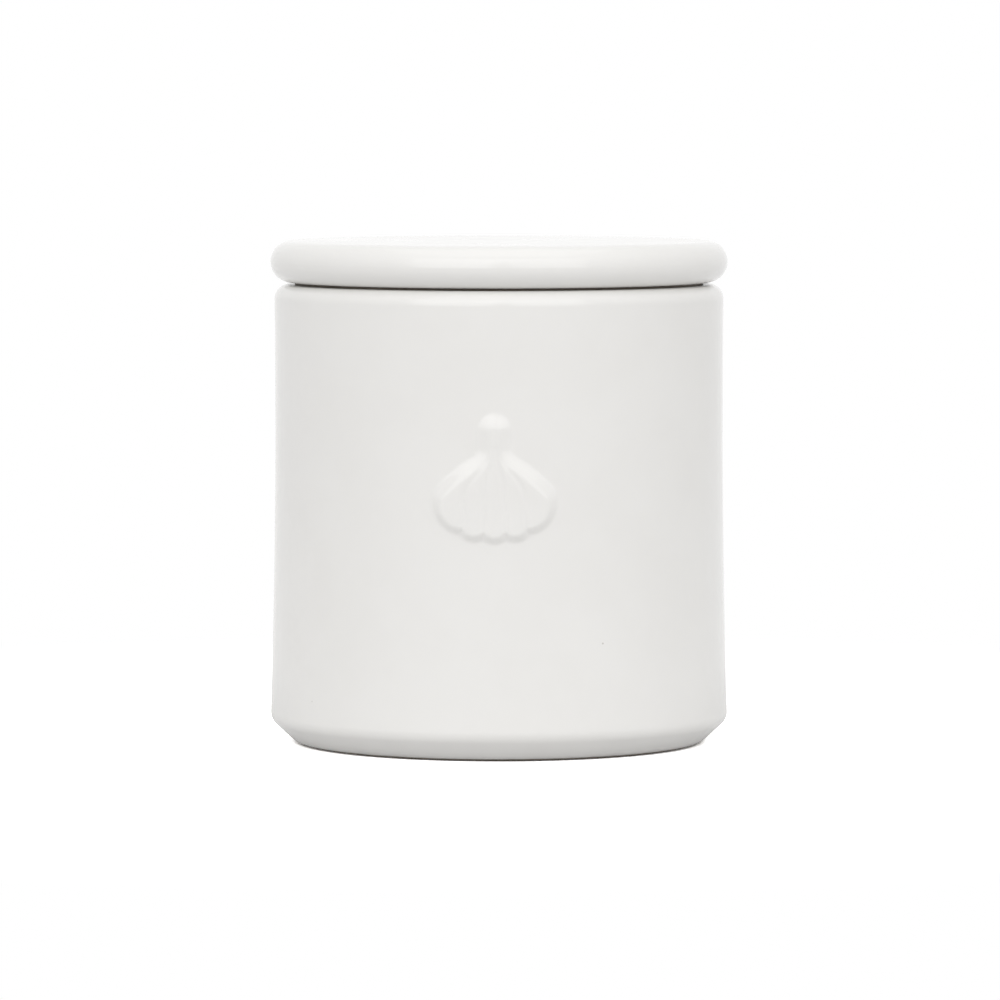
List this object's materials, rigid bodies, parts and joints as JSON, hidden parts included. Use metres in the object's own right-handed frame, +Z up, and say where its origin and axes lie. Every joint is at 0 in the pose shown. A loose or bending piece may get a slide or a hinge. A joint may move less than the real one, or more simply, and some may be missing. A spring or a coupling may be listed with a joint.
{
  "type": "garlic keeper",
  "caption": "Round glazed stoneware jar with a raised garlic bulb, air holes in the back wall and a flat lift-off lid on a soft ring.",
  "frame": {"origin": "middle of the foot, on the surface that the jar stands on", "axes": "+Z up through the lid, -Y to the front with the raised bulb, +Y to the back with the air holes"},
  "size_m": [0.1106, 0.1106, 0.1209],
  "materials": {
    "white_glaze": "glossy white glaze over stoneware",
    "seal_silicone": "satin grey-brown silicone"
  },
  "bodies": {
    "jar": {"jar": "white_glaze"},
    "seal": {"lid_seal": "seal_silicone"},
    "lid": {"lid": "white_glaze"}
  },
  "joints": [
    {"name": "lid_lift", "type": "slide", "parent": "jar", "child": "seal", "axis": [0, 0, 1], "range_m": [0, 0.06]},
    {"name": "lid_turn", "type": "hinge", "parent": "seal", "child": "lid", "pos_m": [0, 0, 0.11], "axis": [0, 0, 1], "continuous": true}
  ]
}
